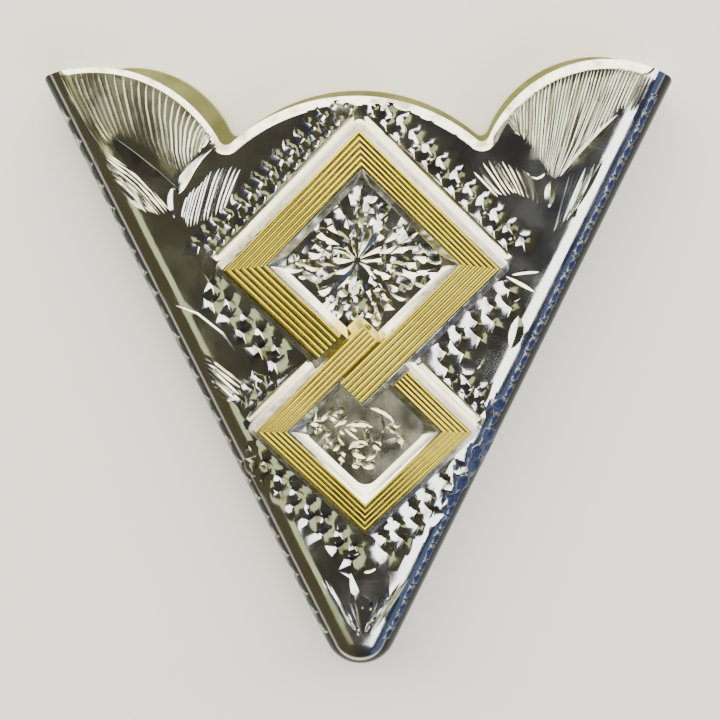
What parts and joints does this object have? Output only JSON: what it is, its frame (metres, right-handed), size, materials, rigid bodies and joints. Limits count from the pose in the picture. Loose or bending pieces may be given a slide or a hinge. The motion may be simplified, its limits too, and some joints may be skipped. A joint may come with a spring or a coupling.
{
  "type": "collar tip",
  "caption": "V-shaped engraved metal collar tip with rolled sides, an open lobed mouth that slips over a shirt collar's point, and two interlinked ridged diamonds on its front.",
  "frame": {"origin": "bottom centre of the bounding box, on the surface that the back rests on", "axes": "+Z out of the engraved front, +Y towards the open lobed mouth, -Y towards the tip, +X to the right seen from the front"},
  "size_m": [0.0413, 0.0434, 0.0065],
  "materials": {
    "nickel_silver": "polished and bright-cut engraved",
    "back_metal": "plain polished",
    "gilt": "polished ridges, darker grooves"
  },
  "bodies": {
    "root": {"shell": "nickel_silver", "back_plate": "back_metal", "large_diamond": "gilt", "small_diamond": "gilt"}
  },
  "joints": []
}
